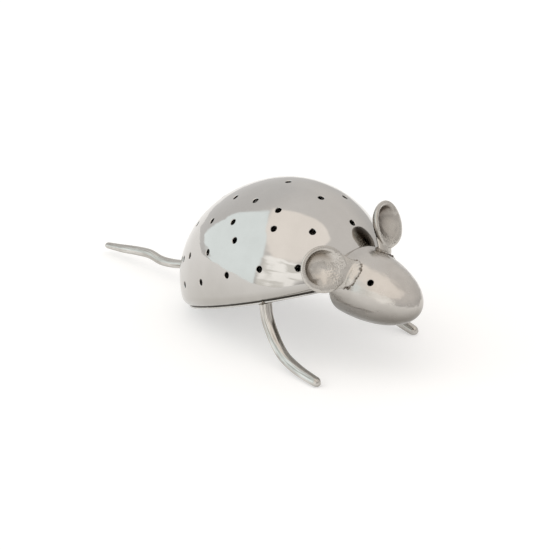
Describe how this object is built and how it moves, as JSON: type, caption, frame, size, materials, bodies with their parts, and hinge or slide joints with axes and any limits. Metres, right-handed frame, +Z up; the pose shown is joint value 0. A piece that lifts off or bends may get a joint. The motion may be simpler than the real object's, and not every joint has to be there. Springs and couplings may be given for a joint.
{
  "type": "mouse cocktail-pick holder",
  "caption": "Polished metal mouse holding cocktail picks: a pierced hollow dome on a flat base, with egg head, spoon ears, bent rod legs and rod tail.",
  "frame": {"origin": "on the table, under the middle of the overall length and width", "axes": "+X towards the nose, +Y to the mouse's left, +Z up"},
  "size_m": [0.2159, 0.0792, 0.0696],
  "materials": {
    "polished_metal": "mirror polished, slightly wavy by hand",
    "sheet_metal": "polished edge, satin face",
    "cast_metal": "polished casting with a pitted hollow",
    "rod_metal": "satin, brushed along the rod",
    "braze": "dull, lumpy braze"
  },
  "bodies": {
    "root": {"body_shell": "polished_metal", "base_plate": "sheet_metal", "head_shell": "polished_metal", "ear_right": "cast_metal", "ear_left": "cast_metal", "leg_right": "rod_metal", "leg_left": "rod_metal", "tail_rod": "rod_metal", "braze_head": "braze", "braze_ear_right": "braze", "braze_ear_left": "braze", "braze_leg_right": "braze", "braze_leg_left": "braze", "braze_tail": "braze"}
  },
  "joints": []
}
